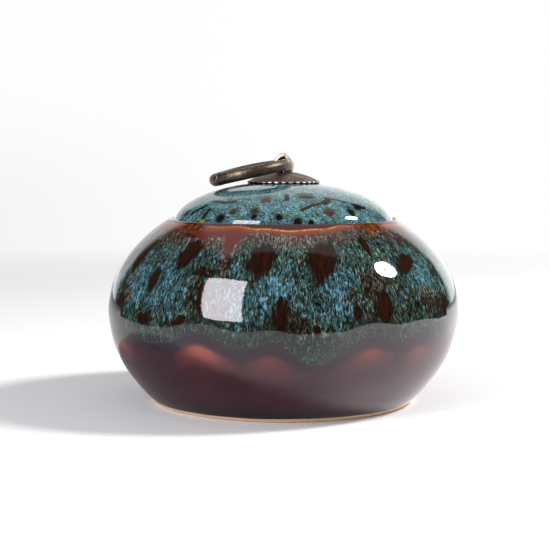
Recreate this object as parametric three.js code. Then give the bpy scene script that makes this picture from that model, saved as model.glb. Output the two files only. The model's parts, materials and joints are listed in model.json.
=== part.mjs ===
// Squat glazed jar with a domed lid that drops inside its lip. A bronze rosette sits on the lid,
// and a split-pin eye goes through both and carries a round pull ring.
// Millimetres, +Z up. The origin is on the jar's axis, in the plane that its foot stands on.
import * as THREE from "three";

// Jar
const bellyRadius = 65;
const bellyHeight = 33;
const footRadius = 47.1;
const footRingWidth = 6;
const footRecess = 1.6;
const floorThickness = 5;
const wall = 4.5;
const lipHeight = 67.3;
const lipRounding = 1;
const mouthRadius = 41.2;
const seatDepth = 2.9;
const seatWidth = 6.2;
const seatThickness = 4;

// Lid
const lidClearance = 0.6;
const lidEdgeHeight = 1.2;
const lidRise = 15.1;
const lidThickness = 4;
const spigotClearance = 0.8;
const spigotDepth = 6;
const spigotWall = 4;
const pinHoleClearance = 0.35;

// Rosette
const rosetteRadius = 13.5;
const rosetteHeight = 3.95;
const rosetteSheet = 1.1;
const rosetteCrown = 26;
const rosetteBead = 0.6;
const lobeCount = 32;
const lobeDepth = 0.55;
const slotClearance = 0.42;
const slotSquareness = 6;

// Pull ring
const ringRadius = 12.8;
const ringWire = 2.1;
const ringTilt = 12.3;
const ringWarp = 0.7;

// Split-pin eye
const stripThickness = 1.65;
const stripWidth = 2.4;
const loopClearance = 0.3;
const loopStretch = 1;
const legGap = 0.2;
const neckRadius = 1.2;
const legBendRadius = 1.4;
const legReach = 8;

// Gap left between two pieces that rest on each other
const restGap = 0.3;

// Fineness of the faceted surfaces
const turnSteps = 56;
const flankSteps = 8;
const domeSteps = 7;
const lobeSteps = 4;
const beadSteps = 3;
const ringSteps = 44;
const wireSteps = 10;
const bendStep = 18;

const degrees = Math.PI / 180;
const glaze = { roughness: 0.12, metalness: 0 };
const bronze = { roughness: 0.42, metalness: 1 };

// Heights and radii that follow from the sizes above
const seatHeight = lipHeight - seatDepth;
const throatRadius = mouthRadius - seatWidth;
const lidRadius = mouthRadius - lidClearance;
const lidUnderside = seatHeight + restGap;
const lidSpring = lidUnderside + lidEdgeHeight;
const lidInnerRadius = throatRadius - spigotClearance - spigotWall;
const lidInnerRise = lidSpring + lidRise - lidThickness - lidUnderside;
const rosetteBase = lidTopAt(rosetteRadius - rosetteBead) + restGap;
const rosetteTop = rosetteBase + rosetteHeight;
const wireHeight = rosetteTop + restGap + ringWire;
const loopInner = ringWire + loopClearance;
const loopOuter = loopInner + stripThickness;
const legMiddle = (stripThickness + legGap) / 2;
const pinHoleRadius = Math.hypot(legMiddle + stripThickness / 2, stripWidth / 2) + pinHoleClearance;

// Height of a half-ellipse dome over a point at some radius
function domeHeight(radius, span, spring, rise) {
  return spring + rise * Math.sqrt(Math.max(0, 1 - (radius / span) ** 2));
}

// Height of the lid's top face over a point at some radius
function lidTopAt(radius) {
  return domeHeight(radius, lidRadius, lidSpring, lidRise);
}

// Points on a circle or ellipse from one angle to another, both in radians
function arc(centreX, centreY, radiusX, radiusY, from, to, steps) {
  const points = [];
  for (let i = 0; i <= steps; i++) {
    const angle = from + ((to - from) * i) / steps;
    points.push([centreX + radiusX * Math.cos(angle), centreY + radiusY * Math.sin(angle)]);
  }
  return points;
}

// Turns a profile of [radius, height] points about the Z axis
function turned(profile, steps) {
  const points = profile.map(([radius, height]) => new THREE.Vector2(radius, height));
  return new THREE.LatheGeometry(points, steps).rotateX(Math.PI / 2);
}

function piece(name, geometry, colour, finish) {
  const mesh = new THREE.Mesh(geometry, new THREE.MeshStandardMaterial({ color: colour, ...finish }));
  mesh.name = name;
  return mesh;
}

// The jar's shoulder is a quarter ellipse that runs smoothly into the rounded lip.
// The angle where the two meet is found by repeated substitution.
function shoulder() {
  const centreRadius = mouthRadius + lipRounding;
  const centreHeight = lipHeight - lipRounding;
  let lipAngle = Math.PI / 3;
  let rise = lipHeight;
  let endAngle = Math.PI / 4;
  for (let i = 0; i < 8; i++) {
    const radius = centreRadius + lipRounding * Math.cos(lipAngle);
    const height = centreHeight + lipRounding * Math.sin(lipAngle);
    endAngle = Math.acos(radius / bellyRadius);
    rise = (height - bellyHeight) / Math.sin(endAngle);
    lipAngle = Math.atan2((height - bellyHeight) / rise ** 2, radius / bellyRadius ** 2);
  }
  return { centreRadius, centreHeight, lipAngle, rise, endAngle };
}

function jarGeometry() {
  const upper = shoulder();
  const footAngle = Math.acos(footRadius / bellyRadius);
  const lowerRise = bellyHeight / Math.sin(footAngle);
  const cavityRadius = bellyRadius - wall;
  const cavityUpper = upper.rise - wall;
  const cavityLower = lowerRise - wall;
  const floorHeight = footRecess + floorThickness;
  const ceiling = seatHeight - seatThickness;
  const ceilingAngle = Math.asin((ceiling - bellyHeight) / cavityUpper);
  const floorAngle = Math.asin((floorHeight - bellyHeight) / cavityLower);
  const recessRadius = footRadius - footRingWidth;
  return turned([
    [0, footRecess],
    [recessRadius, footRecess],
    [recessRadius, 0],
    ...arc(0, bellyHeight, bellyRadius, lowerRise, -footAngle, 0, flankSteps),
    ...arc(0, bellyHeight, bellyRadius, upper.rise, 0, upper.endAngle, flankSteps).slice(1, -1),
    ...arc(upper.centreRadius, upper.centreHeight, lipRounding, lipRounding, upper.lipAngle, Math.PI, 4),
    [mouthRadius, seatHeight],
    [throatRadius, seatHeight],
    [throatRadius, ceiling],
    ...arc(0, bellyHeight, cavityRadius, cavityUpper, ceilingAngle, 0, 4),
    ...arc(0, bellyHeight, cavityRadius, cavityLower, 0, floorAngle, 4).slice(1),
    [0, floorHeight],
  ], turnSteps);
}

// The lid's dome, its edge that rests on the seat, the spigot below it and its hollow underside
function lidGeometry() {
  const spigotRadius = throatRadius - spigotClearance;
  const outerEnd = Math.acos(pinHoleRadius / lidRadius);
  const innerEnd = Math.acos(pinHoleRadius / lidInnerRadius);
  const outer = arc(0, lidSpring, lidRadius, lidRise, outerEnd, 0, domeSteps);
  const inner = arc(0, lidUnderside, lidInnerRadius, lidInnerRise, 0, innerEnd, domeSteps);
  return turned([
    ...outer,
    [lidRadius, lidUnderside],
    [spigotRadius, lidUnderside],
    [spigotRadius, lidUnderside - spigotDepth],
    [lidInnerRadius, lidUnderside - spigotDepth],
    ...inner,
    outer[0],
  ].reverse(), turnSteps);
}

// Distance from the axis to the edge of the rosette's slot, in the direction of an angle
function slotReach(angle) {
  const halfLength = slotHalfLength();
  const halfWidth = stripWidth / 2 + slotClearance;
  const along = Math.abs(Math.cos(angle) / halfLength) ** slotSquareness;
  const across = Math.abs(Math.sin(angle) / halfWidth) ** slotSquareness;
  return (along + across) ** (-1 / slotSquareness);
}

// The loop is widest inside the rosette's sheet where it crosses the sheet's top face
function slotHalfLength() {
  const drop = wireHeight - rosetteTop;
  return Math.sqrt(Math.max(0, loopOuter ** 2 - drop ** 2)) + slotClearance;
}

// A domed sheet with a beaded, lobed rim and a slot that the eye passes through
function rosetteGeometry() {
  const hole = slotHalfLength();
  const beadRadius = rosetteRadius - rosetteBead;
  const beadHeight = rosetteBase + rosetteBead;
  const crownHeight = (radius) => rosetteTop - rosetteCrown + Math.sqrt(rosetteCrown ** 2 - radius ** 2);
  const rimRadius = beadRadius - rosetteBead;
  const top = [hole, (hole + rimRadius) / 2, rimRadius].map((radius) => [radius, crownHeight(radius)]);
  const innerRim = rimRadius - rosetteSheet;
  const profile = [
    ...top,
    ...arc(beadRadius, beadHeight, rosetteBead, rosetteBead, Math.PI / 2, -Math.PI / 2, beadSteps),
    [innerRim, lidTopAt(innerRim) + restGap],
    [innerRim, crownHeight(innerRim) - rosetteSheet],
    [hole, crownHeight(hole) - rosetteSheet],
    top[0],
  ];
  const geometry = turned(profile.reverse(), lobeCount * lobeSteps);
  const position = geometry.attributes.position;
  for (let i = 0; i < position.count; i++) {
    const x = position.getX(i);
    const y = position.getY(i);
    const radius = Math.hypot(x, y);
    const angle = Math.atan2(y, x);
    const atHole = Math.abs(radius - hole) < 1e-3;
    const onBead = Math.max(0, (radius - rimRadius) / (rosetteRadius - rimRadius));
    const notch = (lobeDepth * onBead * (1 - Math.cos(lobeCount * angle))) / 2;
    const reach = atHole ? slotReach(angle) : radius - notch;
    position.setXY(i, reach * Math.cos(angle), reach * Math.sin(angle));
  }
  return geometry;
}

// One half of the strip as [outer point, inner point] pairs, from the tip of a leg to the loop's top
function halfStrip() {
  const half = stripThickness / 2;
  const loopMiddle = loopInner + half;
  const neckX = legMiddle + neckRadius;
  const neckDrop = Math.sqrt((loopMiddle + neckRadius) ** 2 - neckX ** 2);
  const neckHeight = wireHeight - neckDrop;
  const loopStart = Math.atan2(-neckDrop, neckX);
  const legTop = domeHeight(legReach, lidInnerRadius, lidUnderside, lidInnerRise) - restGap;
  const legHeight = legTop - half;
  const bendX = legMiddle + legBendRadius;
  const bendHeight = legHeight + legBendRadius;
  const pairs = [[[legReach, legHeight + half], [legReach, legHeight - half]]];
  const addArc = (x, z, middle, side, from, to) => {
    const steps = Math.max(2, Math.ceil(Math.abs(to - from) / (bendStep * degrees)));
    const outer = arc(x, z, middle + side * half, middle + side * half, from, to, steps);
    const inner = arc(x, z, middle - side * half, middle - side * half, from, to, steps);
    outer.forEach((point, i) => pairs.push([point, inner[i]]));
  };
  addArc(bendX, bendHeight, legBendRadius, -1, -Math.PI / 2, -Math.PI);
  addArc(neckX, neckHeight, neckRadius, -1, Math.PI, loopStart + Math.PI);
  addArc(0, wireHeight, loopMiddle, 1, loopStart, 0);
  addArc(0, wireHeight + loopStretch, loopMiddle, 1, 0, Math.PI / 2);
  return pairs;
}

// The eye is one flat strip, bent to a loop. Its legs go down through the lid and are spread under it.
function eyeGeometry() {
  const right = halfStrip();
  const left = right.slice(0, -1).reverse().map((pair) => pair.map(([x, z]) => [-x, z]));
  const whole = [...right, ...left];
  const outline = [...whole.map((pair) => pair[0]), ...whole.map((pair) => pair[1]).reverse()];
  const shape = new THREE.Shape(outline.map(([x, z]) => new THREE.Vector2(x, z)));
  const flat = new THREE.ExtrudeGeometry(shape, { depth: stripWidth, bevelEnabled: false });
  return flat.translate(0, 0, -stripWidth / 2).rotateX(Math.PI / 2);
}

// A round wire ring, slightly bent out of its plane, with the eye at its local angle zero
function ringGeometry() {
  const geometry = new THREE.TorusGeometry(ringRadius, ringWire, wireSteps, ringSteps);
  const position = geometry.attributes.position;
  for (let i = 0; i < position.count; i++) {
    const angle = Math.atan2(position.getY(i), position.getX(i));
    position.setZ(i, position.getZ(i) + (ringWarp * (1 - Math.cos(2 * angle))) / 2);
  }
  return geometry;
}

const urn = new THREE.Group();
urn.add(piece("jar", jarGeometry(), 0x3c4a48, glaze));
urn.add(piece("lid", lidGeometry(), 0x3f6670, glaze));
urn.add(piece("rosette", rosetteGeometry(), 0x6a5d52, bronze));
urn.add(piece("ring_eye", eyeGeometry(), 0xc9bda0, bronze));

// The ring turns about the middle of its wire inside the eye, and lies down to the left
const ringPivot = new THREE.Group();
ringPivot.position.set(0, 0, wireHeight);
ringPivot.rotation.y = -ringTilt * degrees;
const ring = piece("pull_ring", ringGeometry(), 0x5d5548, bronze);
ring.position.x = -ringRadius;
ringPivot.add(ring);
urn.add(ringPivot);

export default urn;
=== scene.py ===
# Looks of a squat glazed urn with a domed lid and a bronze pull ring, in a plain pale studio.
# Lengths are millimetres until a mesh is made. Azimuth 0 faces the camera (-Y) and 90 faces +X.
import functools
import json
import math
import random

import bpy
import numpy as np
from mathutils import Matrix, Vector, noise


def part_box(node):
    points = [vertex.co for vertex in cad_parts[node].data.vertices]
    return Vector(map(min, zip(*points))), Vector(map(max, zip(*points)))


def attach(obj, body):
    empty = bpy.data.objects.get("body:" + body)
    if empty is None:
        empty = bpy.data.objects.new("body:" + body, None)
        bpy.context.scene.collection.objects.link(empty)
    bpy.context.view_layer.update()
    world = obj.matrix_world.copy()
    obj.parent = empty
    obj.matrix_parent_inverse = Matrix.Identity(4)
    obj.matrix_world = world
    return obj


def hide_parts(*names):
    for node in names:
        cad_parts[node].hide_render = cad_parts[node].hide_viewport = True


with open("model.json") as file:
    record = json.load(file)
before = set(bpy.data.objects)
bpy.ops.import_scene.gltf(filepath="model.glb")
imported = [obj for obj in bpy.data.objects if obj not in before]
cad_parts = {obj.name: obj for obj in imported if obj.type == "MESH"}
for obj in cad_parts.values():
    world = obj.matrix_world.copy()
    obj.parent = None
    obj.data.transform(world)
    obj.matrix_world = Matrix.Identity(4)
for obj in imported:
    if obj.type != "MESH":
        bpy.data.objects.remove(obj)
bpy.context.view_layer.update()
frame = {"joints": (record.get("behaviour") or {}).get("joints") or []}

MM = 0.001
jar_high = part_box("jar")[1] / MM
lid_box = [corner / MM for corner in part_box("lid")]
rosette_box = [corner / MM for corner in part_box("rosette")]
ring_pivot = Vector(frame["joints"][0]["pos_m"]) / MM

# Jar
belly_radius = jar_high.x
lip_height = jar_high.z
belly_height = 33
foot_radius = 47.1
foot_ring_width = 6
foot_recess = 1.6
foot_rounding = 0.35
floor_thickness = 5
wall = 4.5
lip_rounding = 1
mouth_radius = 41.2
seat_depth = 2.9
seat_width = 6.2
seat_thickness = 4
throat_radius = mouth_radius - seat_width
jar_columns = 360
upper_rows = 84
lower_rows = 76

# Lid
lid_radius = lid_box[1].x
spigot_depth = 6
spigot_wall = 4
spigot_clearance = 0.8
lid_edge_height = 0.5
lid_rise = 15.8
lid_thickness = 4
lid_edge_rounding = 0.5
pin_hole_radius = 2.47
lid_underside = lid_box[0].z + spigot_depth
lid_inner_radius = throat_radius - spigot_clearance - spigot_wall
lid_inner_rise = lid_edge_height + lid_rise - lid_thickness
lid_columns = 360
dome_steps = 110

# Rosette
rosette_radius = rosette_box[1].x
rosette_base = rosette_box[0].z
rosette_height = 3.95
rosette_sheet = 1.1
rosette_crown = 26
crown_rows = 18
rim_rounding = 0.5
rim_gap = 0.05
lobe_count = 32
lobe_depth = 0.95
slot_clearance = 0.42
slot_squareness = 6
rest_gap = 0.3

# Ring and eye
ring_radius = 12.8
ring_wire = 2.1
ring_tilt = 12.3
ring_warp_back = 0.7
ring_warp_front = 0.1
ring_swell = 0.17
ring_columns = 28
ring_step = 2.5
seam_turn = 218
seam_width = 0.22
seam_depth = 0.4
cap_swell = 0.12
cap_length = 17
strip_thickness = 1.65
strip_edge = 0.5
strip_width = 2.4
loop_clearance = 0.3
loop_stretch = 1
leg_gap = 0.2
neck_radius = 1.2
leg_bend_radius = 1.4
leg_reach = 8
snug_gap = 0.05
eye_lean = 0.5
eye_drop = 0.6

# Glaze relief: the surface drops where the thick speckled glaze ends
glaze_step = 0.45
glaze_step_above = 6
glaze_step_below = 3
foot_fade = 10
wave_height = 0.012
wave_count = 9
wave_longest = 34
wave_shortest = 13
wave_lift = 2.5
bare_band = 5.6
flow_radius = 60

# The speckled glaze's lower border: azimuth, millimetres down from the lip
border_front = [
    (-72, 45), (-40, 48.9), (-27.4, 43.3), (-13, 48.7), (-4.2, 46.4), (9, 54),
    (27.1, 44.6), (37, 47.1), (46.6, 45.7), (60, 48.5), (72, 45),
]
# Red patches under the border: azimuth, half width in degrees, strength
reds_front = [(-62, 6, 0.8), (-25.5, 9, 1), (-4.5, 7, 0.6), (27, 7, 0.8), (46.5, 7, 0.7)]
# Dark spots: azimuth, millimetres down from the lip, half width, half length, lean, strength
spots_front = [
    (-36.3, 16.2, 3.6, 6.6, -0.2, 1), (-7.9, 18.6, 4.3, 7.6, -0.14, 1),
    (12.6, 19, 5, 8.6, -0.28, 1), (45.7, 20.8, 4.3, 3.8, -0.5, 1),
    (32, 13, 1.4, 5.2, 0.05, 1), (-47, 27.6, 2.4, 4.6, -0.12, 0.9),
    (-28.2, 23, 2.3, 2, 0, 0.5), (-62, 18.4, 3.4, 8, 0, 1),
    (-62.5, 36.8, 2.8, 3.4, 0, 0.9), (-48, 41.1, 3.5, 2.2, 0, 1),
    (-33.1, 40.7, 2.2, 2.4, -0.6, 0.9), (-1, 37.6, 3, 6, 0, 0.6),
    (31.5, 36, 3.2, 5.6, 0, 0.9), (21.7, 37.3, 1.3, 3, 0, 0.7),
    (61, 38, 2.4, 4.2, 0, 0.9), (-25.9, 32, 1.8, 5.2, 0, 0.5),
    (-19.2, 18.6, 1, 3.8, 0.1, 0.7), (9.2, 42.6, 1.3, 2.2, 0, 0.8),
    (62.5, 22, 1.3, 3.2, 0, 0.8), (-41, 7.5, 3, 1.2, 0.9, 0.4),
]
# Bare tongues that run down from the rim: azimuth, half width in degrees, extra length
tongues_front = [(-20.6, 3, 9.5), (-33, 7, 3.2), (-2, 2, 1.2), (12, 2, 1)]
# Where the bare band is narrower: azimuth, half width in degrees, millimetres less
narrow_bands = [(38, 15, 3.4), (118, 16, 3), (200, 14, 3), (262, 12, 3)]
# Amber patches on the rim: azimuth, run, half width in degrees, half length
ambers_front = [(-44.5, 3.5, 8.5, 2.3), (43.5, 2.4, 6, 2.8), (38.3, 6, 1.4, 2.6), (34, 2, 3.2, 1.3)]
# How far down the pale line on the rim runs, at each azimuth
rim_line = [(-62, 1.8), (-41, 2.5), (-20.5, 2), (-11, 3), (-1.8, 3.7), (6.7, 4), (15.7, 3.1),
            (28.5, 1.7), (60, 2.4), (110, 1.5), (160, 3.4), (200, 2), (240, 3.2), (270, 1.8)]
# Bright sky-blue areas: azimuth, millimetres down, half width, half length
blues_front = [(-52, 30, 11, 9), (-39, 29, 6, 9), (-3, 30, 8, 7), (16, 29, 5, 12), (-14, 37, 6, 7),
               (52, 26, 5, 6)]
# Dull brown-grey areas, in the same form
dulls_front = [(-26, 34, 4, 9), (30, 28, 6, 7), (30, 40, 6, 5), (-52, 7.5, 9, 4.5), (-62, 34, 6, 7),
               (53, 36, 8, 5), (0, 40, 6, 4), (50, 8, 8, 4)]


def smooth(low, high, value):
    """0 below low and 1 above high, with an even ease between."""
    share = np.clip((value - low) / (high - low), 0, 1)
    return share * share * (3 - 2 * share)


def turn_between(azimuth, centre):
    """Degrees from centre to azimuth, between -180 and 180."""
    return (azimuth - centre + 180) % 360 - 180


def hump(azimuth, place, half_width):
    """A soft hump, 1 high, at one place round the axis."""
    return np.exp(-(turn_between(azimuth, place) / half_width) ** 2)


def ovals(patches, azimuth, run):
    """1 in the middle of each oval patch, 0 on its edge and -1 far outside."""
    field = np.full_like(run, -1.0)
    for place, down, half_width, half_length in patches:
        shape = 1 - (turn_between(azimuth, place) / half_width) ** 2 - ((run - down) / half_length) ** 2
        field = np.maximum(field, shape)
    return field


def eased_curve(turning_points, azimuth):
    """Eases round the axis from each (azimuth, value) point to the next."""
    points = sorted(turning_points)
    points.append((points[0][0] + 360, points[0][1]))
    places, values = np.array(points, float).T
    around = (azimuth - places[0]) % 360 + places[0]
    index = np.clip(np.searchsorted(places, around, side="right") - 1, 0, len(points) - 2)
    share = (around - places[index]) / (places[index + 1] - places[index])
    ease = (1 - np.cos(np.pi * share)) / 2
    return values[index] + (values[index + 1] - values[index]) * ease


def arc(centre_x, centre_y, radius_x, radius_y, start, end, steps):
    """Points on an ellipse from one angle to another, in radians."""
    angle = np.linspace(start, end, steps + 1)
    return np.column_stack([centre_x + radius_x * np.cos(angle), centre_y + radius_y * np.sin(angle)])


def joined(*stretches):
    """One outline from several stretches that share their end points."""
    points = np.vstack(stretches)
    gaps = np.hypot(*np.diff(points, axis=0).T)
    return points[np.concatenate([[True], gaps > 1e-6])]


def bent(corners, *steps):
    """Straight stretches from corner to corner, each in even steps."""
    return joined(*[np.linspace(start, end, count + 1)
                    for start, end, count in zip(corners, corners[1:], steps)])


def runs(points):
    """Distance along an outline at each point."""
    return np.concatenate([[0], np.cumsum(np.hypot(*np.diff(points, axis=0).T))])


def outline_normals(points):
    """The unit normal on an outline's left at each point."""
    tangent = np.gradient(points, axis=0)
    tangent /= np.hypot(*tangent.T)[:, None]
    return np.column_stack([-tangent[:, 1], tangent[:, 0]])


def turned(outline, columns):
    """Azimuth, run, radius, height, sine and cosine over a turned outline."""
    azimuth, run = np.meshgrid(np.arange(columns) * 360 / columns, runs(outline))
    radius, height = [np.repeat(part[:, None], columns, axis=1) for part in outline.T]
    return azimuth, run, radius, height, np.sin(np.radians(azimuth)), np.cos(np.radians(azimuth))


def grid_faces(rows, columns, wrap_rows):
    """Quads of a grid whose rows close on themselves."""
    last = rows if wrap_rows else rows - 1
    row, column = np.meshgrid(np.arange(last), np.arange(columns), indexing="ij")
    next_row = (row + 1) % rows
    next_column = (column + 1) % columns
    corners = [row * columns + column, row * columns + next_column,
               next_row * columns + next_column, next_row * columns + column]
    return np.stack(corners, axis=-1).reshape(-1, 4).tolist()


def new_mesh(name, points, faces, material):
    mesh = bpy.data.meshes.new(name)
    mesh.from_pydata([tuple(p) for p in points], [], faces)
    mesh.materials.append(material)
    return mesh


def placed(name, data):
    thing = bpy.data.objects.new(name, data)
    bpy.context.scene.collection.objects.link(thing)
    return thing


def flat_fields(fields, flow):
    """Fields with one value a vertex, and the glaze's flow as vectors."""
    rows = {key: values.ravel() for key, values in fields.items()}
    rows["flow"] = flow.reshape(-1, 3)
    return rows


def make_piece(name, points, faces, fields, body, node, material):
    """Makes a smooth mesh from millimetre points and fits it into the frame."""
    mesh = new_mesh(name, points * MM, faces, material)
    mesh.validate()
    for key, values in fields.items():
        kind, part = ("FLOAT_VECTOR", "vector") if values.ndim == 2 else ("FLOAT", "value")
        layer = mesh.attributes.new(key, kind, "POINT")
        layer.data.foreach_set(part, values.astype(np.float32).ravel())
    mesh.shade_smooth()
    mesh.set_sharp_from_angle(angle=math.radians(50))
    piece = placed(name, mesh)
    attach(piece, body)
    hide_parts(node)


def linear(code):
    """A linear colour from a six-digit sRGB code."""
    parts = [int(code[i:i + 2], 16) / 255 for i in (0, 2, 4)]
    return [p / 12.92 if p <= 0.04045 else ((p + 0.055) / 1.055) ** 2.4 for p in parts] + [1.0]


class Graph:
    """A node material or world, with short calls for its nodes."""

    def __init__(self, owner):
        self.owner = owner
        owner.use_nodes = True
        self.tree = owner.node_tree
        self.tree.nodes.clear()

    def node(self, kind, settings=None, **inputs):
        made = self.tree.nodes.new(kind)
        for key, value in (settings or {}).items():
            setattr(made, key, value)
        for key, value in inputs.items():
            self.feed(made.inputs[key.replace("_", " ")], value)
        return made

    def fed(self, kind, settings, inputs, output=0):
        """One output of a node, with values for sockets given by name or number."""
        made = self.node(kind, settings)
        for key, value in inputs.items():
            self.feed(made.inputs[key], value)
        return made.outputs[output]

    def feed(self, socket, value):
        if isinstance(value, bpy.types.NodeSocket):
            self.tree.links.new(value, socket)
        elif isinstance(value, str):
            socket.default_value = linear(value)
        else:
            socket.default_value = value

    def field(self, name, output="Fac"):
        return self.node("ShaderNodeAttribute", {"attribute_name": name}).outputs[output]

    def maths(self, operation, first, second=0.0, clamp=False):
        settings = {"operation": operation, "use_clamp": clamp}
        return self.fed("ShaderNodeMath", settings, {0: first, 1: second})

    def add(self, *values):
        return functools.reduce(lambda first, second: self.maths("ADD", first, second), values)

    def times(self, *values):
        return functools.reduce(lambda first, second: self.maths("MULTIPLY", first, second), values)

    def swing(self, field, gain):
        """A noise field moved to swing evenly about zero."""
        return self.times(self.maths("SUBTRACT", field, 0.5), gain)

    def vector(self, operation, first, second):
        other = "Scale" if operation == "SCALE" else 1
        return self.fed("ShaderNodeVectorMath", {"operation": operation}, {0: first, other: second})

    def stretch(self, place, share):
        return self.vector("MULTIPLY", place, (1, 1, share))

    def step(self, value, low, high):
        settings = {"interpolation_type": "SMOOTHSTEP"}
        made = self.node("ShaderNodeMapRange", settings, Value=value, From_Min=low, From_Max=high)
        return made.outputs[0]

    def blend(self, share, first, second):
        return self.fed("ShaderNodeMix", {"data_type": "RGBA"}, {0: share, 6: first, 7: second}, 2)

    def mix(self, share, first, second):
        return self.fed("ShaderNodeMix", {"data_type": "FLOAT"}, {0: share, 2: first, 3: second})

    def noise(self, place, scale, detail=2.0, roughness=0.5, output="Fac"):
        made = self.node("ShaderNodeTexNoise", None, Vector=place, Scale=scale, Detail=detail,
                         Roughness=roughness)
        return made.outputs[output]

    def ramp(self, value, stops):
        made = self.node("ShaderNodeValToRGB", None, Fac=value)
        marks = made.color_ramp.elements
        for place, code in stops[1:-1]:
            marks.new(place).color = linear(code)
        for mark, (place, code) in zip([marks[0], marks[-1]], [stops[0], stops[-1]]):
            mark.position = place
            mark.color = linear(code)
        return made.outputs["Color"]

    def bump(self, height, distance):
        made = self.node("ShaderNodeBump", None, Height=height, Distance=distance)
        return made.outputs["Normal"]

    def show(self, shader, kind="Material"):
        out = self.node("ShaderNodeOutput" + kind)
        self.tree.links.new(shader.outputs[0], out.inputs["Surface"])
        return self.owner

    def finish(self, **inputs):
        return self.show(self.node("ShaderNodeBsdfPrincipled", None, **inputs))


def new_material(name):
    return Graph(bpy.data.materials.new(name))


def palette(places, *codes):
    """Ramp stops from the dark ground to the brightest fleck."""
    return list(zip(places, codes))


jar_stops = (0.0, 0.24, 0.45, 0.64, 0.82, 1.0)
lid_stops = (0.0, 0.2, 0.42, 0.62, 0.82, 1.0)
palette_blue = palette(jar_stops, "0c0b06", "18201b", "2a3d3d", "3e5c65", "4f7b8e", "709daf")
palette_green = palette(jar_stops, "0d0c05", "1b2318", "2e4037", "435f58", "598079", "83a79e")
palette_grey = palette(jar_stops, "2a110b", "3c2019", "4a3a33", "5f5850", "7a7d75", "a3ada6")
palette_brown = palette(jar_stops, "110703", "1e120a", "2f261b", "4a4337", "6c685b", "98978a")
palette_low = palette(jar_stops, "0c100f", "161d1b", "202b28", "313f3b", "52615a", "84948a")
palette_lid_blue = palette(lid_stops, "0e1512", "22332f", "3f5c5f", "527985", "6796a9", "93c3d6")
palette_lid_green = palette(lid_stops, "10150c", "24352b", "415f57", "577c73", "6f9c92", "9ac4b8")
glaze_roughness = 0.045
clay_roughness = 0.7
glaze_ior = 1.53


def ridges(g, place, scale, width):
    """A net of thin lines, where a noise field passes through its middle value."""
    away = g.maths("ABSOLUTE", g.maths("SUBTRACT", g.noise(place, scale, 1.5, 0.5), 0.5))
    return g.step(away, width, 0.0)


def wandering(g, flow, scale, reach):
    """Positions pushed about, so that streaks bend."""
    push = g.vector("SUBTRACT", g.noise(flow, scale, 2, 0.5, "Color"), (0.5, 0.5, 0.5))
    return g.vector("ADD", flow, g.vector("SCALE", push, reach))


def with_clay(g, flow, colour, bare, pale, dark):
    """A glaze's colour and roughness with bare clay where bare is 1, and the clay's grit."""
    grit = g.noise(flow, 2.2, 3, 0.6)
    clay = g.blend(g.step(grit, 0.3, 0.75), pale, dark)
    return g.blend(bare, colour, clay), g.add(glaze_roughness, g.times(bare, clay_roughness)), grit


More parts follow.
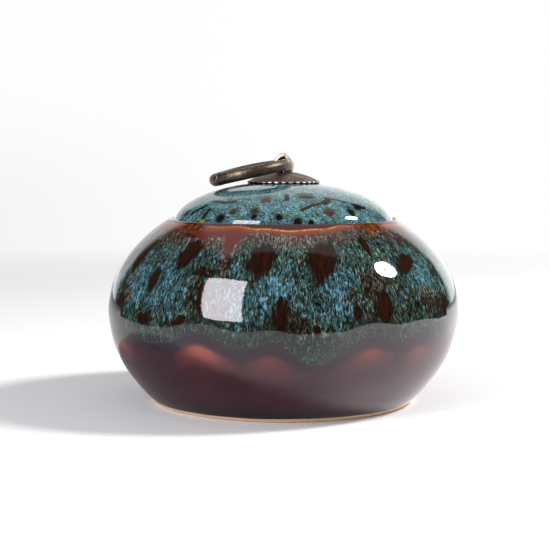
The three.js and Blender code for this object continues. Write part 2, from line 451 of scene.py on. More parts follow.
def jar_glaze_material():
    g = new_material("jar_glaze")
    flow = g.field("flow", "Vector")
    names = ("run", "above_border", "below_rim_band", "blue", "dull")
    run, above, below_rim, blue, dull = [g.field(name) for name in names]
    drift = wandering(g, flow, 0.16, 2.4)
    stretched = g.stretch(drift, 0.3)
    streaks = g.noise(stretched, 2.1, 2, 0.55)
    net = ridges(g, stretched, 0.95, 0.075)
    longer = g.stretch(drift, 0.4)
    dashes = g.noise(longer, 0.55, 2, 0.55)
    areas = g.noise(g.stretch(flow, 0.7), 0.085, 2, 0.5)
    fringe = g.noise(g.stretch(drift, 0.16), 1.0, 2, 0.6)

    # How bright the flecks are at each place
    lower = g.step(g.add(above, g.swing(dashes, 6)), 9, 1)
    level = g.add(
        0.36, g.swing(streaks, 2.1), g.times(net, 0.2), g.swing(dashes, 0.9),
        g.swing(areas, 0.5), g.times(blue, 0.17), g.times(dull, -0.1), g.times(g.step(above, 16, 8), -0.08),
    )
    tint = g.noise(g.vector("ADD", longer, (40, 0, 0)), 0.4, 3, 0.6)
    greenness = g.step(g.add(g.times(lower, 0.3), tint, g.times(blue, -0.2)), 0.4, 0.56)
    flecks = g.blend(greenness, g.ramp(level, palette_blue), g.ramp(level, palette_green))
    brown = g.noise(g.vector("ADD", longer, (0, 70, 0)), 0.62, 2, 0.6)
    brownness = g.step(g.add(brown, g.times(dull, 0.22), g.times(blue, -0.1)), 0.53, 0.62)
    flecks = g.blend(g.times(brownness, 0.9), flecks, g.ramp(level, palette_brown))
    foam = g.noise(g.stretch(drift, 0.6), 2.0, 2, 0.6)
    soft_level = g.add(0.42, g.swing(foam, 1.9), g.swing(dashes, 0.5))
    flecks = g.blend(g.times(lower, 0.85), flecks, g.ramp(soft_level, palette_low))
    near_rim = g.step(g.add(below_rim, g.swing(dashes, 8)), 8.5, 2)
    flecks = g.blend(near_rim, flecks, g.ramp(level, palette_grey))

    # Dark spots: olive at the edge and brown inside, with darker streaks
    spot_edge = g.add(g.field("spot"), g.swing(streaks, 1.9), g.swing(fringe, 2.6), 0.12)
    spot_colour = g.ramp(spot_edge, [(0.0, "1a170c"), (0.3, "1d1008"), (0.6, "2a1006"), (1.0, "2e1207")])
    spot_colour = g.blend(g.times(g.step(fringe, 0.46, 0.6), 0.85), spot_colour, "140b06")
    flecks = g.blend(g.step(spot_edge, -0.15, 0.4), flecks, spot_colour)

    # The rim, where the glaze thins to maroon, orange and amber
    ragged = g.add(below_rim, g.swing(fringe, 3.5), g.swing(streaks, 3))
    line_away = g.field("from_rim_line")
    rim_colour = g.blend(g.step(line_away, -0.7, 0.1), "3f191b", "7c3a1c")
    rim_colour = g.blend(g.step(line_away, 0.6, 3.5), rim_colour, "5c2524")
    on_line = g.step(g.maths("ABSOLUTE", line_away), 0.75, 0.1)
    line_colour = g.blend(g.step(dashes, 0.4, 0.6), "a05526", "b88a55")
    rim_colour = g.blend(g.times(on_line, g.field("line_strength")), rim_colour, line_colour)
    flecks = g.blend(g.step(ragged, 1.3, -1.0), flecks, rim_colour)
    amber_edge = g.add(g.field("amber"), g.swing(streaks, 0.9), g.swing(fringe, 0.8))
    amber_colour = g.ramp(g.add(streaks, g.swing(dashes, 0.8)),
                          [(0.3, "261003"), (0.5, "562604"), (0.64, "843f05"), (0.82, "9c7624")])
    flecks = g.blend(g.step(amber_edge, -0.05, 0.35), flecks, amber_colour)

    # Below the border: a bluish halo, then red-brown, and nearly black above the bare foot, a painted shade
    # for the foot's reflected contact shadow
    mottle = g.noise(flow, 0.07, 3, 0.6)
    maroon = g.blend(g.step(mottle, 0.3, 0.7), "301920", "3b1d25")
    red = g.add(g.field("red"), g.swing(mottle, 0.2))
    maroon = g.blend(g.step(red, 0.05, 0.6), maroon, "562829")
    maroon = g.blend(g.step(red, 0.5, 1.1), maroon, "8c443a")
    halo = g.step(g.add(above, g.swing(mottle, 1.6)), -5.4, -2.4)
    ground = g.blend(halo, maroon, "261a23")
    # Painted shade: nearly black in the last millimetres above the foot, standing for the reflected contact
    # shadow
    ground = g.blend(g.step(run, 73, 79), ground, "120f11")
    cover = g.step(g.add(above, g.swing(foam, 4), g.swing(fringe, 1.2)), -0.7, 0.7)
    colour = g.blend(cover, ground, flecks)
    bare = g.step(g.add(g.field("bare"), g.swing(mottle, 0.5)), -0.12, 0.12)
    colour, roughness, grit = with_clay(g, flow, colour, bare, "f2d3b8", "dcb595")
    skin = g.noise(flow, 0.45, 2, 0.5)
    relief = g.add(g.times(skin, 0.5), g.times(streaks, cover, 0.12), g.times(grit, bare, 2))
    normal = g.bump(relief, 0.00002)
    return g.finish(Base_Color=colour, Roughness=roughness, IOR=glaze_ior, Normal=normal)


def lid_glaze_material():
    g = new_material("lid_glaze")
    flow = g.field("flow", "Vector")
    drift = wandering(g, flow, 0.3, 1.6)
    grain = g.noise(drift, 1.6, 2, 0.6)
    net = ridges(g, drift, 1.0, 0.07)
    clouds = g.noise(drift, 0.42, 2, 0.55)
    areas = g.noise(flow, 0.12, 2, 0.5)
    level = g.add(0.46, g.swing(grain, 2.1), g.times(net, 0.1), g.swing(clouds, 0.7), g.swing(areas, 0.5))
    tint = g.noise(g.vector("ADD", flow, (40, 0, 0)), 0.3, 2, 0.5)
    greenness = g.step(tint, 0.48, 0.64)
    flecks = g.blend(greenness, g.ramp(level, palette_lid_blue), g.ramp(level, palette_lid_green))
    ragged = g.noise(drift, 0.9, 3, 0.7)
    spot_edge = g.add(g.field("spot"), g.swing(grain, 2.6), g.swing(ragged, 3.4), 0.1)
    spot_colour = g.ramp(spot_edge, [(0.0, "2d3a2a"), (0.35, "272614"), (0.7, "15100a"), (1.0, "0a0806")])
    spot_colour = g.blend(g.field("red"), spot_colour, "54332a")
    flecks = g.blend(g.step(spot_edge, -0.5, 0.6), flecks, spot_colour)
    amber_edge = g.add(g.field("amber"), g.swing(grain, 1.4))
    amber_colour = g.ramp(amber_edge, [(0.0, "7d8a52"), (0.35, "9a8a3c"), (0.6, "b06012"), (1.0, "8a3206")])
    flecks = g.blend(g.step(amber_edge, -0.1, 0.3), flecks, amber_colour)
    bare = g.step(g.field("bare"), -0.1, 0.1)
    colour, roughness, _ = with_clay(g, flow, flecks, bare, "dcb89c", "c0977a")
    normal = g.bump(g.noise(flow, 0.5, 2, 0.5), 0.00001)
    return g.finish(Base_Color=colour, Roughness=roughness, IOR=glaze_ior, Normal=normal)


def bronze_material(name, dark, middle, worn_and_highlight, roughness, grain_size, grain_depth):
    """Patinated metal, paler where it is worn and where a highlight is painted, and near black in seams and
    where shade is painted.
    """
    g = new_material(name)
    place = g.vector("SCALE", g.node("ShaderNodeTexCoord").outputs["Object"], 1 / MM)
    grain = g.noise(place, 1 / grain_size, 3, 0.6)
    clouds = g.noise(place, 0.35, 3, 0.6)
    # The field holds real wear and painted light: higher for painted highlights, lower for painted shade
    wear_and_painted_light = g.field("wear_and_painted_light")
    tone = g.add(g.swing(grain, 1.4), g.swing(clouds, 0.8), 0.5, g.times(wear_and_painted_light, 0.3))
    colour = g.blend(g.step(tone, 0.1, 0.95), dark, middle)
    worn_and_highlight_share = g.step(g.add(wear_and_painted_light, g.swing(grain, 0.6)), 0.45, 0.95)
    colour = g.blend(worn_and_highlight_share, colour, worn_and_highlight)
    # Near black where the field falls below zero: painted shade in the rosette's notches and inside the
    # eye's loop, and the ring's dark seam
    colour = g.blend(g.step(wear_and_painted_light, -0.1, -0.7), colour, "0b0a08")
    colour = g.blend(g.field("pink"), colour, "8a6f66")
    rough = g.add(roughness, g.swing(grain, 0.25), g.times(worn_and_highlight_share, -0.08))
    normal = g.bump(g.add(grain, g.times(clouds, 0.6)), grain_depth)
    return g.finish(Base_Color=colour, Metallic=1.0, Roughness=rough, Normal=normal)


def shoulder():
    """Where the upper quarter ellipse and the rounded lip meet."""
    centre_radius = mouth_radius + lip_rounding
    centre_height = lip_height - lip_rounding
    lip_angle = math.pi / 3
    for _ in range(8):
        radius = centre_radius + lip_rounding * math.cos(lip_angle)
        height = centre_height + lip_rounding * math.sin(lip_angle)
        end_angle = math.acos(radius / belly_radius)
        rise = (height - belly_height) / math.sin(end_angle)
        lip_angle = math.atan2((height - belly_height) / rise ** 2, radius / belly_radius ** 2)
    return centre_radius, centre_height, lip_angle, rise, end_angle


def jar_outline():
    """The jar's outline from its inner floor over the lip to its underside, and the lip's row."""
    centre_radius, centre_height, lip_angle, rise, end_angle = shoulder()
    foot_angle = math.acos(foot_radius / belly_radius)
    lower_rise = belly_height / math.sin(foot_angle)
    seat_height = lip_height - seat_depth
    cavity_radius = belly_radius - wall
    cavity_upper = rise - wall
    cavity_lower = lower_rise - wall
    floor_height = foot_recess + floor_thickness
    ceiling = seat_height - seat_thickness
    floor_angle = math.asin((floor_height - belly_height) / cavity_lower)
    ceiling_angle = math.asin((ceiling - belly_height) / cavity_upper)
    floor_edge = cavity_radius * math.cos(floor_angle)
    ceiling_edge = cavity_radius * math.cos(ceiling_angle)
    recess_radius = foot_radius - foot_ring_width
    rounding_start = math.asin((foot_rounding - belly_height) / lower_rise)
    inside = joined(
        bent([(0, floor_height), (floor_edge, floor_height)], 4),
        arc(0, belly_height, cavity_radius, cavity_lower, floor_angle, 0, 8),
        arc(0, belly_height, cavity_radius, cavity_upper, 0, ceiling_angle, 8),
        bent([(ceiling_edge, ceiling), (throat_radius, ceiling), (throat_radius, seat_height),
              (mouth_radius, seat_height), (mouth_radius, centre_height)], 2, 2, 2, 2),
        arc(centre_radius, centre_height, lip_rounding, lip_rounding, math.pi, math.pi / 2, 4),
    )
    outside = joined(
        arc(centre_radius, centre_height, lip_rounding, lip_rounding, math.pi / 2, lip_angle, 4),
        arc(0, belly_height, belly_radius, rise, end_angle, 0, upper_rows),
        arc(0, belly_height, belly_radius, lower_rise, 0, rounding_start, lower_rows),
    )
    underside = joined(
        outside[-1:],
        bent([(foot_radius - foot_rounding, 0), (recess_radius, 0), (recess_radius, foot_recess),
              (0, foot_recess)], 3, 1, 4),
    )
    whole = joined(inside, outside, underside)
    return whole, len(inside) - 1


def random_features(rng):
    """The front's features, with more of them drawn for the hidden side."""
    draw = rng.uniform
    border = list(border_front)
    reds = list(reds_front)
    place = 72
    deep = True
    while place < 276:
        place += draw(9, 17)
        depth = draw(47.5, 53) if deep else draw(43.5, 46)
        if place < 276:
            border.append((place, depth))
            if not deep:
                reds.append((place, draw(5, 9), draw(0.5, 1)))
        deep = not deep
    spots = list(spots_front)
    for row, low, high in [(12, 9, 24), (30, 21, 33), (39, 33, 42)]:
        place = 62
        while place < 286:
            place += draw(11, 24)
            size = draw(1.5, 4.2)
            if place < 290:
                spots.append((place, draw(low, high), size, size * draw(0.9, 1.7), draw(-0.3, 0.3),
                              draw(0.7, 1)))
    fronts = (tongues_front, ambers_front, blues_front, dulls_front)
    tongues, ambers, blues, dulls = [list(front) for front in fronts]
    for place in range(80, 285, 34):
        tongues.append((place + draw(-9, 9), draw(1.5, 4), draw(1, 8)))
        ambers.append((place + draw(-12, 12), 2.5, draw(3, 8), draw(1.8, 3)))
        blues.append((place + draw(-12, 12), draw(24, 36), draw(7, 13), draw(7, 11)))
        dulls.append((place + draw(-15, 15), draw(24, 40), draw(3, 6), draw(5, 9)))
    return border, reds, spots, tongues, ambers, blues, dulls


def patch_field(patches, azimuth, run, radius):
    """1 in the middle of soft oval patches and 0 outside them."""
    field = np.zeros_like(run)
    for place, down, half_width, half_length in patches:
        across = np.radians(turn_between(azimuth, place)) * radius / half_width
        along = (run - down) / half_length
        field = np.maximum(field, np.exp(-(across ** 2 + along ** 2) * 0.9))
    return field


def spot_field(spots, azimuth, run, radius):
    """1 in the middle of each dark spot and 0 on its edge, with a tail below."""
    field = np.full_like(run, -3.0)
    for place, down, half_width, half_length, lean, strength in spots:
        along = (run - down) / half_length
        tail = np.clip(along, 0, 1)
        across = np.radians(turn_between(azimuth, place)) * radius - lean * (run - down)
        across = across / (half_width * (1 - 0.35 * tail))
        shape = 1 - across ** 2 - np.where(along < 0, np.abs(along) ** 3, along ** 2)
        field = np.maximum(field, np.where(shape > 0, shape * strength, shape))
    return np.clip(field, -1.5, 1)


def gentle_waves(azimuth, run, rng, count, longest, shortest):
    """Waves about 1 high that close round the axis."""
    total = np.zeros_like(run)
    for _ in range(count):
        length = rng.uniform(shortest, longest)
        turns = round(360 / (length / belly_radius * 57.3)) * rng.choice([1, -1])
        total += np.sin(np.radians(turns * azimuth) + run * 2 * np.pi / length * rng.uniform(0.3, 1)
                        + rng.uniform(0, 6.28))
    return total / math.sqrt(count)


def build_jar():
    rng = random.Random(11)
    border, reds, spots, tongues, ambers, blues, dulls = random_features(rng)
    outline, lip_row = jar_outline()
    normals = outline_normals(outline)
    azimuth, run, radius, height, sin, cos = turned(outline, jar_columns)
    run = run - run[lip_row]
    outside = (run > 0) & (height > 0) & (radius > mouth_radius)
    above = eased_curve(border, azimuth) - run

    # Relief along the outline's normal
    dip = glaze_step * smooth(glaze_step_above, -glaze_step_below, above)
    dip *= smooth(0, foot_fade, height)
    waves = gentle_waves(azimuth, run, rng, wave_count, wave_longest, wave_shortest)
    dip += wave_height * (waves + wave_lift) * smooth(0, 6, height)
    dip = np.where(outside, dip, 0) * smooth(0, 3, run)
    radius = radius - dip * normals[:, 0:1]
    height = height - dip * normals[:, 1:2]

    band = bare_band + 0.5 * np.sin(np.radians(azimuth * 9)) + 0.4 * np.sin(np.radians(azimuth * 17 + 40))
    for place, half_width, less in narrow_bands:
        band = band - less * hump(azimuth, place, half_width)
    for place, half_width, length in tongues:
        band = band + length * hump(azimuth, place, half_width)
    red = np.zeros_like(run)
    for place, half_width, strength in reds:
        red = np.maximum(red, strength * hump(azimuth, place, half_width))
    red *= smooth(-3.0, -6.0, above) * (0.16 + 0.84 * smooth(-15, -6, above))
    from_line = run - eased_curve(rim_line, azimuth) - 0.25 * np.sin(np.radians(azimuth * 23 + 50))
    flow = np.stack([flow_radius * sin, -flow_radius * cos, -run], axis=-1)
    fields = {
        "run": run, "above_border": np.clip(above, -60, 60),
        "spot": spot_field(spots, azimuth, run, radius),
        "amber": ovals(ambers, azimuth, run), "below_rim_band": run - band, "from_rim_line": from_line,
        "line_strength": 0.25 + 0.75 * hump(azimuth, 3, 26), "red": red,
        "bare": np.where(run < -5, 1, np.clip(1.5 - height, -1, 1)),
        "blue": patch_field(blues, azimuth, run, radius), "dull": patch_field(dulls, azimuth, run, radius),
    }
    fields = flat_fields(fields, flow)
    points = np.stack([radius * sin, -radius * cos, height], axis=-1)
    faces = grid_faces(len(outline) - 2, jar_columns, False)
    keep = slice(jar_columns, -jar_columns)
    points = points.reshape(-1, 3)[keep]
    fields = {key: values[keep] for key, values in fields.items()}
    ends = [(0, 0, outline[0, 1]), (0, 0, outline[-1, 1])]
    first_end = len(points)
    points = np.vstack([points, ends])
    fields = {key: np.concatenate([values, values[:1], values[-1:]]) for key, values in fields.items()}
    last_row = first_end - jar_columns
    for column in range(jar_columns):
        after = (column + 1) % jar_columns
        faces.append([first_end, after, column])
        faces.append([first_end + 1, last_row + column, last_row + after])
    make_piece("jar_glazed", points, faces, fields, "urn", "jar", jar_glaze_material())


def lid_outline():
    """The lid's closed outline, from the pin hole over the dome and round under it."""
    spring = lid_underside + lid_edge_height
    spigot_radius = throat_radius - spigot_clearance
    inner_radius = lid_inner_radius
    outer_end = math.acos(pin_hole_radius / lid_radius)
    inner_end = math.acos(pin_hole_radius / inner_radius)
    rounding = lid_edge_rounding
    spigot_low = lid_underside - spigot_depth
    return joined(
        arc(0, spring, lid_radius, lid_rise, outer_end, 0, dome_steps),
        arc(lid_radius - rounding, lid_underside + rounding, rounding, rounding, 0, -math.pi / 2, 4),
        bent([(lid_radius - rounding, lid_underside), (spigot_radius, lid_underside),
              (spigot_radius, spigot_low), (inner_radius, spigot_low), (inner_radius, lid_underside)],
             2, 2, 1, 1),
        arc(0, lid_underside, inner_radius, lid_inner_rise, 0, inner_end, 12),
    )


def build_lid():
    rng = random.Random(5)
    outline = lid_outline()
    azimuth, run, radius, height, sin, cos = turned(outline, lid_columns)
    # Dark spots: azimuth, radius from the axis, size, redness
    spots = [
        (-34.1, 39.4, 1.9, 0), (-27.6, 37.4, 1.5, 0.3), (-16, 37.1, 1.6, 0), (-15.6, 38.9, 1.1, 0),
        (-2.6, 39, 1.5, 0), (-11.4, 31.7, 1.9, 0.7), (15.8, 28.2, 2.8, 0), (24.5, 37.7, 1.8, 0.6),
        (38, 37.9, 1.7, 0), (6.8, 39.9, 1.5, 0), (13.5, 40.2, 1.3, 0), (45, 36.5, 1.5, 0),
    ]
    # Dark cracks in the glaze: start and end, each as azimuth and radius, and half width
    cracks = [
        ((-45.9, 39.9), (-44.5, 37.0), 0.6), ((-49, 33.0), (-37.5, 33.8), 0.8),
        ((-36.5, 33.6), (-31, 33), 0.9), ((-57.2, 38.9), (-50.3, 35.7), 0.7),
        ((1.9, 27.2), (1.8, 31.5), 0.7), ((28.1, 32.3), (24.6, 33.6), 1.1),
        ((24.6, 33.6), (16, 34.8), 0.6), ((16, 34.8), (9.6, 36.8), 0.65),
        ((30, 30.5), (40, 33.5), 0.55), ((28.1, 32.3), (29.5, 30.4), 0.8), ((44, 35), (50, 36.8), 0.8),
    ]
    dome_rows = outline[:dome_steps + 1]

    def spread(place, out):
        """A place on the dome, laid flat at its distance from the axis."""
        along = np.interp(out, dome_rows[:, 0], runs(dome_rows))
        return np.array([along * math.sin(math.radians(place)), -along * math.cos(math.radians(place))])

    for _ in range(70):
        place = rng.uniform(58, 302)
        spots.append((place, rng.uniform(15, 39.5), rng.uniform(0.8, 2.3), rng.choice([0, 0, 0, 1])))
    spot = np.full_like(run, -1.5)
    red = np.zeros_like(run)
    for place, out, size, redness in spots:
        x, y = spread(place, out)
        distance = np.hypot(run * sin - x, -run * cos - y) / size
        shape = 1 - distance ** 2
        red = np.where(shape > spot, redness, red)
        spot = np.maximum(spot, shape)
    for start, end, half_width in cracks:
        ends = [spread(place, out) for place, out in (start, end)]
        step = ends[1] - ends[0]
        away_x, away_y = run * sin - ends[0][0], -run * cos - ends[0][1]
        share = np.clip((away_x * step[0] + away_y * step[1]) / (step @ step), 0, 1)
        distance = np.hypot(away_x - share * step[0], away_y - share * step[1]) / half_width
        shape = 1.25 - distance ** 2
        red = np.where(shape > spot, 0, red)
        spot = np.maximum(spot, shape)
    dome = runs(outline)[dome_steps]
    edge_ambers = [(-45.5, 3.4, 3.2), (80, 5, 4), (150, 4, 5), (215, 7, 4), (262, 3, 3)]
    patches = [(place, dome, half_width, length) for place, half_width, length in edge_ambers]
    amber = ovals(patches, azimuth, run)
    bare = np.where(run > dome + lid_edge_height, 1.0, -1.0)
    flow = np.stack([run * sin, -run * cos, np.where(run > dome, 40.0, 0.0)], axis=-1)
    fields = flat_fields({"spot": np.clip(spot, -1.5, 1), "red": red, "amber": amber, "bare": bare}, flow)
    points = np.stack([radius * sin, -radius * cos, height], axis=-1).reshape(-1, 3)
    faces = [face[::-1] for face in grid_faces(len(outline), lid_columns, True)]
    make_piece("lid_glazed", points, faces, fields, "urn", "lid", lid_glaze_material())


def build_rosette():
    """A domed sheet with a slot in its middle and teeth cut into its rim."""
    loop_outer = ring_wire + loop_clearance + strip_thickness
    top = rosette_base + rosette_height
    drop = ring_pivot.z - top
    slot_half_length = math.sqrt(loop_outer ** 2 - drop ** 2) + slot_clearance
    slot_half_width = strip_width / 2 + slot_clearance
    rim_radius = rosette_radius - rim_rounding
    inner_rim = rim_radius - rosette_sheet
    foot = rosette_base - rest_gap + rim_gap

    def crown(radius):
        return top - rosette_crown + math.sqrt(rosette_crown ** 2 - radius ** 2)

    rim_top = crown(rim_radius)
    outline = joined(
        [(r, crown(r)) for r in np.linspace(slot_half_length, rim_radius, crown_rows)],
        arc(rim_radius, rim_top - rim_rounding, rim_rounding, rim_rounding, math.pi / 2, 0, 5),
        bent([(rosette_radius, rim_top - rim_rounding), (rosette_radius, foot)], 5),
        [(inner_rim, foot), (inner_rim, crown(inner_rim) - rosette_sheet)],
        [(slot_half_length, crown(slot_half_length) - rosette_sheet)],
    )
    columns = lobe_count * 12
    azimuth, _, radius, height, sin, cos = turned(outline, columns)
    on_rim = np.clip((radius - rim_radius) / rim_rounding, 0, 1)
    down = np.clip((rim_top - height) / (rim_top - foot), 0, 1) * (on_rim > 0)
    tooth = np.abs(np.cos(np.radians(lobe_count * azimuth / 2)))
    cut = np.clip(1.25 * down + 0.1 - tooth, 0, 1) * on_rim
    across = (np.abs(cos / slot_half_length) ** slot_squareness
              + np.abs(sin / slot_half_width) ** slot_squareness)
    slot = across ** (-1 / slot_squareness)
    in_share = np.clip((rim_radius - radius) / (rim_radius - slot_half_length), 0, 1) ** 3
    radius = radius - lobe_depth * cut - (slot_half_length - slot) * in_share
    # Tooth tips are paler, a painted highlight, and the notches between them near black, a painted shade
    wear_and_painted_light = 0.35 + 0.75 * on_rim * tooth - 1.6 * np.clip(cut * 1.5, 0, 1)
    x, y = radius * cos, radius * sin
    upper = np.arange(len(outline))[:, None] < crown_rows
    pits = np.array([noise.noise(Vector((a * 1.6, b * 1.6, 3))) for a, b in zip(x.ravel(), y.ravel())])
    height = height - np.where(upper & (radius > slot + 0.3), 0.07 * np.abs(pits.reshape(x.shape)), 0)
    points = np.stack([x, y, height], axis=-1).reshape(-1, 3)
    faces = [face[::-1] for face in grid_faces(len(outline), columns, True)]
    material = bronze_material("rosette_bronze", "2c2420", "8f7c71", "e6d8c4", 0.52, 0.6, 0.0002)
    fields = {"wear_and_painted_light": wear_and_painted_light.ravel(), "pink": np.zeros(wear_and_painted_light.size)}
    make_piece("rosette_cast", points, faces, fields, "urn", "rosette", material)


def build_ring():
    """A round wire, a little out of true, whose cut ends meet in a thin seam."""
    near_seam = seam_turn + np.array([-1.2, -0.7, -0.35, 0, 0.35, 0.7, 1.2])
    stations = np.unique(np.concatenate([np.arange(0, 360, ring_step), near_seam]))
    around = np.radians(np.arange(ring_columns) * 360 / ring_columns)
    turn, section = np.meshgrid(np.radians(stations), around, indexing="ij")
    from_seam = turn_between(np.degrees(turn), seam_turn) * math.radians(1) * ring_radius
    groove = np.exp(-(from_seam / seam_width) ** 2)
    on_cap = smooth(0.3, -0.3, from_seam) * smooth(-cap_length - 1, -cap_length + 1, from_seam)
    wire = ring_wire - seam_depth * groove + cap_swell * on_cap + ring_swell * (1 - np.cos(turn)) / 2
    wire = wire - 0.03 * (1 + np.sin(3 * turn + 1) * np.cos(section))
    reach = ring_radius + wire * np.cos(section)
    x = reach * np.cos(turn) - ring_radius
    y = reach * np.sin(turn)
    warp = np.where(np.sin(turn) > 0, ring_warp_back, ring_warp_front)
    z = wire * np.sin(section) + warp * np.sin(turn) ** 2
    tilt = math.radians(ring_tilt)
    points = np.stack([x * math.cos(tilt) - z * math.sin(tilt) + ring_pivot.x, y + ring_pivot.y,
                       x * math.sin(tilt) + z * math.cos(tilt) + ring_pivot.z], axis=-1)
    # Paler along the wire's upper side and darker underneath, painted light; near black in the seam's
    # groove, a dark joint
    wear_and_painted_light = 0.35 + 0.25 * np.sin(section) - 1.4 * groove
    faces = grid_faces(len(stations), len(around), True)
    material = bronze_material("ring_bronze", "2a2620", "6f6456", "9c8e7b", 0.45, 0.7, 0.00008)
    fields = {"wear_and_painted_light": wear_and_painted_light.ravel(), "pink": (0.6 * on_cap * (1 - groove)).ravel()}
    points = points.reshape(-1, 3)
    make_piece("ring_wire", points, faces, fields, "ring", "pull_ring", material)


def eye_path():
    """Centre line of the strip from a leg's tip to the loop's top, with outward normals."""
    half = strip_thickness / 2
    leg_middle = (strip_thickness + leg_gap) / 2
    loop_middle = ring_wire + loop_clearance + half
    neck_x = leg_middle + neck_radius
    neck_drop = math.sqrt((loop_middle + neck_radius) ** 2 - neck_x ** 2)
    neck_height = ring_pivot.z - neck_drop
    loop_start = math.atan2(-neck_drop, neck_x)
    leg_top = lid_underside + lid_inner_rise * math.sqrt(1 - (leg_reach / lid_inner_radius) ** 2)
    leg_height = leg_top - rest_gap - half
    bend_x = leg_middle + leg_bend_radius
    bend_height = leg_height + leg_bend_radius
    places = [np.array([[leg_reach, leg_height], [(leg_reach + bend_x) / 2, leg_height]])]
    outward = [np.array([[0, 1], [0, 1]])]
    for x, z, middle, side, start, end, steps in [
        (bend_x, bend_height, leg_bend_radius, -1, -math.pi / 2, -math.pi, 8),
        (neck_x, neck_height, neck_radius, -1, math.pi, loop_start + math.pi, 8),
        (0, ring_pivot.z, loop_middle, 1, loop_start, 0, 12),
        (0, ring_pivot.z + loop_stretch, loop_middle, 1, 0, math.pi / 2, 14),
    ]:
        places.append(arc(x, z, middle, middle, start, end, steps))
        outward.append(side * arc(0, 0, 1, 1, start, end, steps))
    return np.vstack(places), np.vstack(outward)


def build_eye():
    """A half-round strip bent to a loop, whose inner side hugs the ring's wire."""
    places, outward = eye_path()
    mirror = np.array([-1, 1])
    places = np.vstack([places, places[-2::-1] * mirror])
    outward = np.vstack([outward, outward[-2::-1] * mirror])
    steps = 10
    side = np.linspace(-1, 1, steps + 1)
    rounded = strip_edge + (strip_thickness - strip_edge) * np.sqrt(1 - side ** 2)
    half = strip_width / 2
    section = [(half * s, t / strip_thickness) for s, t in zip(side, rounded)]
    edge_share = strip_edge / strip_thickness
    section += [(half, edge_share * part) for part in (0.75, 0.5, 0.25)]
    section += [(half * s, 0) for s in (1, 0.5, 0, -0.5, -1)]
    section += [(-half, edge_share * part) for part in (0.25, 0.5, 0.75)]
    section = np.array(section)
    pivot = np.array([0, ring_pivot.z])
    points = []
    wear_and_painted_light = []
    for place, normal in zip(places, outward):
        outer = place + normal * strip_thickness / 2
        inner = place - normal * strip_thickness / 2
        if place[1] > ring_pivot.z:
            outer = outer - normal * (eye_drop * normal[1] + eye_lean * max(0, -normal[0]))
        away = (outer - pivot) / np.hypot(*(outer - pivot))
        squeeze = smooth(-0.95, -0.7, away[1])
        if away[1] > -0.95:
            hug = np.array([away[0] * squeeze, away[1]])
            hug = hug / np.hypot(*hug) * (ring_wire + snug_gap)
            hug[0] = math.copysign(max(abs(hug[0]), leg_gap / 2), away[0])
            inner = pivot + hug
        # Painted shade: the strip's inner part is near black, reaching further out on the loop's left; the
        # rest carries a painted highlight
        shade = 0.04 + 0.32 * smooth(0.6, 0.1, away[0])
        for across, out in section:
            x, z = inner + (outer - inner) * out
            points.append((x, across, z))
            wear_and_painted_light.append(0.95 if out > shade else -1.0)
    points = np.array(points)
    columns = len(section)
    faces = [face[::-1] for face in grid_faces(len(places), columns, False)]
    faces.append(list(range(columns)))
    last = (len(places) - 1) * columns
    faces.append([last + i for i in reversed(range(columns))])
    # Colours far paler than the ring's: a painted reflection of the white surroundings on the same bronze
    material = bronze_material("eye_bronze", "8d7f66", "cdbf9f", "f4ead6", 0.6, 0.4, 0.00002)
    fields = {"wear_and_painted_light": np.array(wear_and_painted_light), "pink": np.zeros(len(wear_and_painted_light))}
    make_piece("eye_loop", points, faces, fields, "urn", "ring_eye", material)


# Studio, in metres. Directions are azimuth and elevation in degrees as seen from the urn.
camera_place = (-0.00314, -0.5064, 0.0932)
camera_pitch = 5.31
camera_lens = 89.63
camera_sensor = 36
softbox_corners = [(-63.1, 46.8, 0.978), (-29.4, 50.1, 0.978), (-25.2, 7.2, 0.9), (-50.3, 7.8, 0.9)]
softbox_radiance = 13.0
softbox_fill = 6.5
softbox_colour = (0.99, 0.92, 0.97, 1)
fill_colour = (0.96, 0.97, 1, 1)
key_colour = (1, 0.99, 0.97, 1)
key_direction = (92.6, 43.3)
key_distance = 1.2
key_spread = 6.1
key_radiance = 88
key_core_share = 0.2
key_core_radiance = 3
key_core_gap = 0.01
# The table in reflections: bright within its edges, dimmer in the urn's shade
table_left, table_right, table_front = -0.27, 0.43, -0.28
table_softness = 0.006
table_widening = 0.8
table_sweep = (-0.075, -0.055)
table_size = 3
table_white = (0.93, 0.925, 0.94, 1)
table_lilac = (0.95, 0.905, 0.945)
table_dark = (0.03, 0.03, 0.03, 1)
table_right_side = (-0.045, 0.025)
table_glance = 0.9
table_glance_right = 1.5
table_glance_shade = 0.5
shade_reach = (-0.075, -0.007)
shade_radius = (0.072, 0.062)
shade_right = (0.03, -0.01)
# The surroundings in reflections: where each edge starts and ends, as parts of a direction
backdrop_edge = (0.70, 0.78)
backdrop_left_side = (-0.1, -0.4)
backdrop_left_shift = -0.06
backdrop_radiance = 1.05
backdrop_radiance_right = 2.1
backdrop_share_high_left = 0.95
low_right_side, low_right_height = (-0.1, 0.35), (0.55, 0.15)
low_left_side, low_left_height, low_left_share = (0, -0.2), (0.1, -0.05), 0.8
high_left_side, high_left_height = (0, -0.25), (0.03, 0.15)
overhead_left, overhead_right = (-0.58, -0.46), (0.53, 0.41)
overhead_front, overhead_low = (-0.1, -0.04), (0.02, 0.1)
overhead_radiance = 0.5
room_radiance = 0.05
dome_radiance = 0.33
# The backdrop is a little less white on the left, above all low down
pale_left = 0.1
pale_left_low = 0.35
pale_low = (0.05, -0.05)
floor_fade = (0.3, 0.85)


def toward(azimuth, elevation, distance=1.0):
    """A point that is seen from the urn in a direction, in metres."""
    a, e = math.radians(azimuth), math.radians(elevation)
    return Vector((math.sin(a) * math.cos(e), -math.cos(a) * math.cos(e), math.sin(e))) * distance


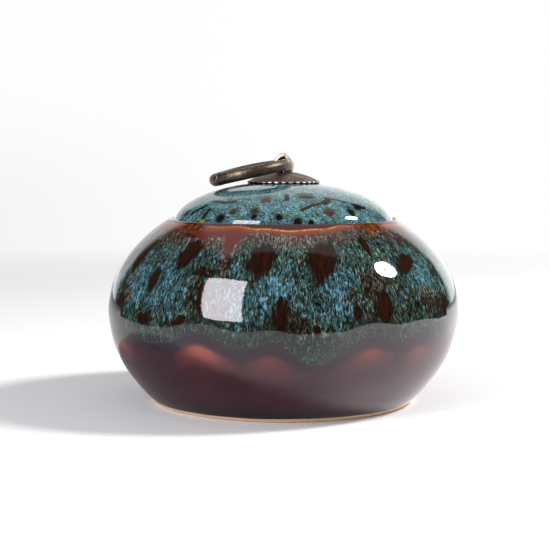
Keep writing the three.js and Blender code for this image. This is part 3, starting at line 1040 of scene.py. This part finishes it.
def make_camera():
    data = bpy.data.cameras.new("camera")
    data.lens = camera_lens
    data.sensor_width = camera_sensor
    data.clip_start = 0.01
    camera = placed("camera", data)
    camera.location = camera_place
    camera.rotation_euler = (math.radians(90 - camera_pitch), 0, 0)
    bpy.context.scene.camera = camera


def stage_mesh(name, rim, material):
    """A flat face of the studio."""
    thing = placed(name, new_mesh(name, rim, [list(range(len(rim)))], material))
    return thing


def light_material(name, colour, radiance, sampling):
    g = new_material(name)
    g.owner.cycles.emission_sampling = sampling
    return g.show(g.node("ShaderNodeEmission", None, Color=colour, Strength=radiance))


def disc(direction, distance, spread, steps=32):
    """The rim of a round light that faces the urn."""
    centre = toward(*direction, distance)
    facing = centre.to_track_quat("Z", "Y")
    reach = distance * math.tan(math.radians(spread))
    turns = np.linspace(0, 2 * math.pi, steps + 1)[:-1]
    return [centre + facing @ Vector((reach * math.cos(t), reach * math.sin(t), 0)) for t in turns]


def make_lights():
    """A softbox on the left, brighter in reflections than as a light, and a round key light."""
    softbox = [toward(*corner) for corner in softbox_corners]
    key = disc(key_direction, key_distance, key_spread)
    core = disc(key_direction, key_distance * (1 - key_core_gap), key_spread * key_core_share)
    for name, rim, colour, radiance, sampling, diffuse, glossy in [
        ("softbox_card", softbox, softbox_colour, softbox_radiance, "NONE", False, True),
        ("softbox_fill", softbox, fill_colour, softbox_fill, "AUTO", True, False),
        ("key_light", key, key_colour, key_radiance, "AUTO", True, True),
        ("key_core", core, key_colour, key_core_radiance, "NONE", True, True),
    ]:
        glow = light_material(name + "_glow", colour, radiance, sampling)
        lamp = stage_mesh(name, rim, glow)
        lamp.visible_camera = False
        lamp.visible_shadow = False
        lamp.visible_diffuse = diffuse
        lamp.visible_glossy = glossy


def make_world():
    world = bpy.data.worlds.new("studio")
    bpy.context.scene.world = world
    g = Graph(world)
    direction = g.node("ShaderNodeTexCoord").outputs["Generated"]
    parts = g.node("ShaderNodeSeparateXYZ", None, Vector=direction)
    x, y, z = parts.outputs
    backdrop = g.step(g.add(y, g.times(g.step(x, *backdrop_left_side), backdrop_left_shift)), *backdrop_edge)
    slope, behind = [g.maths("DIVIDE", part, g.maths("MAXIMUM", z, 0.001)) for part in (x, y)]
    overhead = g.times(g.step(slope, *overhead_left), g.step(slope, *overhead_right),
                       g.step(behind, *overhead_front), g.step(z, *overhead_low))
    low_right = g.times(g.step(x, *low_right_side), g.step(z, *low_right_height))
    low_left = g.times(g.step(x, *low_left_side), g.step(z, *low_left_height), low_left_share)
    glow = g.mix(g.maths("MAXIMUM", low_right, low_left), backdrop_radiance, backdrop_radiance_right)
    high_left = g.times(g.step(x, *high_left_side), g.step(z, *high_left_height))
    glow = g.times(glow, g.mix(high_left, 1, backdrop_share_high_left))
    lit = g.mix(overhead, room_radiance, overhead_radiance)
    lit = g.mix(backdrop, lit, glow)
    rays = g.node("ShaderNodeLightPath").outputs
    left = g.maths("MINIMUM", x, 0)
    pale = g.add(1, g.times(left, pale_left), g.times(left, g.step(z, *pale_low), pale_left_low))
    strength = g.mix(rays["Is Diffuse Ray"], lit, dome_radiance)
    strength = g.mix(rays["Is Camera Ray"], strength, pale)
    g.show(g.node("ShaderNodeBackground", None, Color=(1, 1, 1, 1), Strength=strength), "World")
    world.cycles.sampling_method = "NONE"


def make_floor():
    g = new_material("table_white")
    place = g.node("ShaderNodeTexCoord").outputs["Object"]
    x, y, _ = g.node("ShaderNodeSeparateXYZ", None, Vector=place).outputs
    soft = table_softness
    inside = g.times(g.step(x, table_left - soft, table_left + soft),
                     g.step(x, table_right + soft, table_right - soft),
                     g.step(y, table_front - soft, table_front + soft))
    sweep = g.maths("SUBTRACT", y, g.times(g.maths("ABSOLUTE", x), table_widening))
    inside = g.maths("MAXIMUM", inside, g.step(sweep, *table_sweep))
    reach = g.maths("MULTIPLY", x, 1 / shade_reach[0], True)
    offs = [g.maths("SUBTRACT", part, g.times(reach, end)) for part, end in zip((x, y), shade_reach)]
    from_urn = g.maths("SQRT", g.add(*[g.times(off, off) for off in offs]))
    on_right = g.step(g.add(x, g.times(y, 0.5)), *table_right_side)
    lit_part = g.mix(on_right, table_glance, table_glance_right)
    in_shade = g.times(g.step(from_urn, *shade_radius), g.step(x, *shade_right))
    brightness = g.mix(in_shade, lit_part, table_glance_shade)
    rays = g.node("ShaderNodeLightPath").outputs
    glance = g.blend(inside, table_dark, g.vector("SCALE", table_lilac, brightness))
    colour = g.blend(rays["Is Glossy Ray"], table_white, glance)
    table = g.node("ShaderNodeBsdfDiffuse", None, Color=colour)
    clear = g.node("ShaderNodeBsdfTransparent")
    distance = g.fed("ShaderNodeVectorMath", {"operation": "LENGTH"}, {0: place}, "Value")
    far = g.times(g.step(distance, *floor_fade), rays["Is Camera Ray"])
    mixed = g.node("ShaderNodeMixShader", None, Fac=far)
    g.tree.links.new(table.outputs[0], mixed.inputs[1])
    g.tree.links.new(clear.outputs[0], mixed.inputs[2])
    g.show(mixed)
    corners = [(x * table_size, y * table_size, 0) for x, y in [(-1, -1), (1, -1), (1, 1), (-1, 1)]]
    stage_mesh("table", corners, g.owner)


make_camera()
make_lights()
make_world()
make_floor()
build_jar()
build_lid()
build_rosette()
build_ring()
build_eye()
bpy.context.scene.view_settings.view_transform = "Standard"
